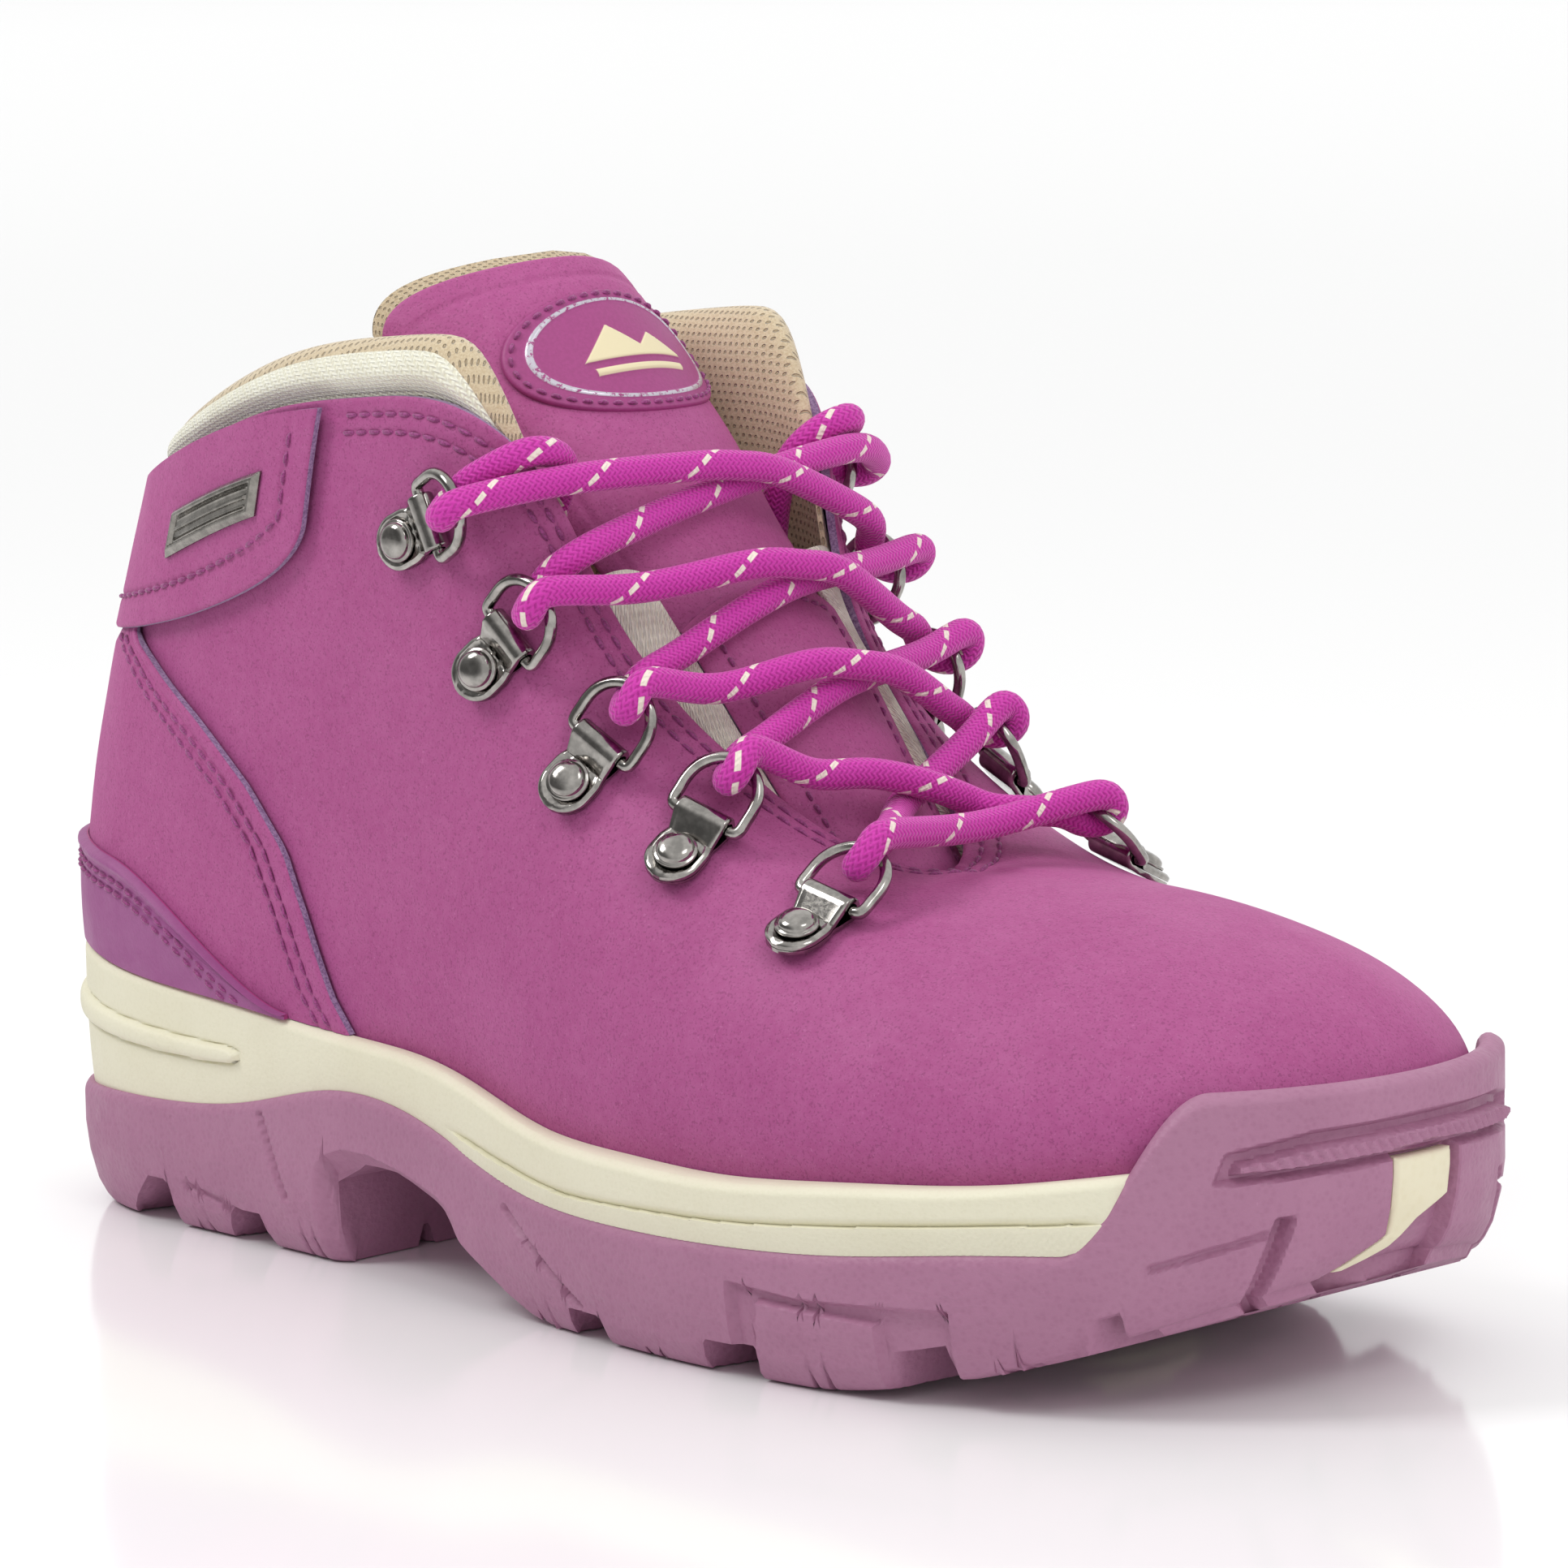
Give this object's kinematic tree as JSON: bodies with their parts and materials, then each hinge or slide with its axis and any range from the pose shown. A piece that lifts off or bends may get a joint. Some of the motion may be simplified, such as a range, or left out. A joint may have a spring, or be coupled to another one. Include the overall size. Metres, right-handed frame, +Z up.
{
  "type": "hiking boot",
  "caption": "Right ankle-height hiking boot with nubuck upper, padded collar, D-ring lacing, cream midsole and lugged rubber outsole with toe bumper.",
  "frame": {"origin": "middle of the boot's footprint box, on the ground", "axes": "+X towards the toe, +Y towards the inner (medial) side of this right boot, +Z up"},
  "size_m": [0.289, 0.1116, 0.169],
  "materials": {
    "leather": "plum-pink nubuck, fine nap with small dark specks",
    "overlay": "smooth thermoplastic-coated leather, satin",
    "cream_fabric": "cream woven tape",
    "tan_mesh": "tan knitted mesh",
    "midsole": "cream moulded foam rubber, matt",
    "outsole": "mauve moulded rubber, matt",
    "metal": "polished gunmetal plating",
    "lace": "magenta braided polyester with cream flecks",
    "board": "pressed fibre board",
    "foam": "open-cell foam",
    "stiffener": "thermoplastic sheet",
    "patch": "debossed leather patch"
  },
  "bodies": {
    "boot": {"outsole": "outsole", "toe_tread_insert": "midsole", "forefoot_tread_insert": "midsole", "midsole": "midsole", "shank": "stiffener", "insole_board": "board", "footbed": "tan_mesh", "upper_leather": "leather", "heel_panel": "leather", "counter_overlay": "overlay", "collar_tab": "leather", "badge_plate": "metal", "heel_counter": "stiffener", "toe_puff": "stiffener", "lining": "tan_mesh", "collar_band": "cream_fabric", "collar_foam": "foam", "lace": "lace", "lace_aglet_outer": "metal", "lace_aglet_inner": "metal", "clip_plate_outer_1": "metal", "clip_plate_outer_2": "metal", "clip_plate_outer_3": "metal", "clip_plate_outer_4": "metal", "clip_plate_outer_5": "metal", "clip_plate_inner_1": "metal", "clip_plate_inner_2": "metal", "clip_plate_inner_3": "metal", "clip_plate_inner_4": "metal", "clip_plate_inner_5": "metal", "clip_rivet_outer_1": "metal", "clip_rivet_outer_2": "metal", "clip_rivet_outer_3": "metal", "clip_rivet_outer_4": "metal", "clip_rivet_outer_5": "metal", "clip_rivet_inner_1": "metal", "clip_rivet_inner_2": "metal", "clip_rivet_inner_3": "metal", "clip_rivet_inner_4": "metal", "clip_rivet_inner_5": "metal"},
    "tongue": {"tongue_leather": "leather", "tongue_foam": "foam", "tongue_lining": "tan_mesh", "tongue_lower_panel": "leather", "tongue_patch": "patch", "gusset_outer": "cream_fabric", "gusset_inner": "cream_fabric"},
    "d_ring_outer_1": {"d_ring_outer_1": "metal"},
    "d_ring_outer_2": {"d_ring_outer_2": "metal"},
    "d_ring_outer_3": {"d_ring_outer_3": "metal"},
    "d_ring_outer_4": {"d_ring_outer_4": "metal"},
    "d_ring_outer_5": {"d_ring_outer_5": "metal"},
    "d_ring_inner_1": {"d_ring_inner_1": "metal"},
    "d_ring_inner_2": {"d_ring_inner_2": "metal"},
    "d_ring_inner_3": {"d_ring_inner_3": "metal"},
    "d_ring_inner_4": {"d_ring_inner_4": "metal"},
    "d_ring_inner_5": {"d_ring_inner_5": "metal"}
  },
  "joints": [
    {"name": "tongue_flex", "type": "hinge", "parent": "boot", "child": "tongue", "pos_m": [0.0523, 0.00274, 0.062], "axis": [0, -1, 0], "range_deg": [0, 6], "stiffness_Nm_per_rad": 0.8, "springref_deg": -3.44, "deforming": ["gusset_outer", "gusset_inner"]},
    {"name": "d_ring_outer_1_swing", "type": "hinge", "parent": "boot", "child": "d_ring_outer_1", "pos_m": [-0.02233, -0.04176, 0.12738], "axis": [-0.4358, -0.0048, 0.9], "range_deg": [-5, 5], "deforming": ["lace"]},
    {"name": "d_ring_outer_2_swing", "type": "hinge", "parent": "boot", "child": "d_ring_outer_2", "pos_m": [-0.00623, -0.03993, 0.10967], "axis": [-0.7078, -0.0737, 0.7025], "range_deg": [-5, 5], "deforming": ["lace"]},
    {"name": "d_ring_outer_3_swing", "type": "hinge", "parent": "boot", "child": "d_ring_outer_3", "pos_m": [0.01182, -0.03772, 0.09356], "axis": [-0.8365, -0.1294, 0.5325], "range_deg": [-5, 5], "deforming": ["lace"]},
    {"name": "d_ring_outer_4_swing", "type": "hinge", "parent": "boot", "child": "d_ring_outer_4", "pos_m": [0.03116, -0.03406, 0.08304], "axis": [-0.9084, -0.2145, 0.359], "range_deg": [-5, 5], "deforming": ["lace"]},
    {"name": "d_ring_outer_5_swing", "type": "hinge", "parent": "boot", "child": "d_ring_outer_5", "pos_m": [0.05634, -0.03217, 0.07223], "axis": [-0.9646, -0.062, 0.2562], "range_deg": [-5, 5], "deforming": ["lace"]},
    {"name": "d_ring_inner_1_swing", "type": "hinge", "parent": "boot", "child": "d_ring_inner_1", "pos_m": [-0.02229, 0.04378, 0.1272], "axis": [0.4311, -0.0648, -0.9], "range_deg": [-5, 5], "deforming": ["lace"]},
    {"name": "d_ring_inner_2_swing", "type": "hinge", "parent": "boot", "child": "d_ring_inner_2", "pos_m": [-0.00627, 0.04098, 0.10952], "axis": [0.708, -0.1008, -0.699], "range_deg": [-5, 5], "deforming": ["lace"]},
    {"name": "d_ring_inner_3_swing", "type": "hinge", "parent": "boot", "child": "d_ring_inner_3", "pos_m": [0.01171, 0.03914, 0.0939], "axis": [0.8721, -0.0786, -0.483], "range_deg": [-5, 5], "deforming": ["lace"]},
    {"name": "d_ring_inner_4_swing", "type": "hinge", "parent": "boot", "child": "d_ring_inner_4", "pos_m": [0.03106, 0.03671, 0.08346], "axis": [0.927, -0.2114, -0.3097], "range_deg": [-5, 5], "deforming": ["lace"]},
    {"name": "d_ring_inner_5_swing", "type": "hinge", "parent": "boot", "child": "d_ring_inner_5", "pos_m": [0.05631, 0.03571, 0.07248], "axis": [0.9695, -0.06, -0.2378], "range_deg": [-5, 5], "deforming": ["lace"]}
  ]
}
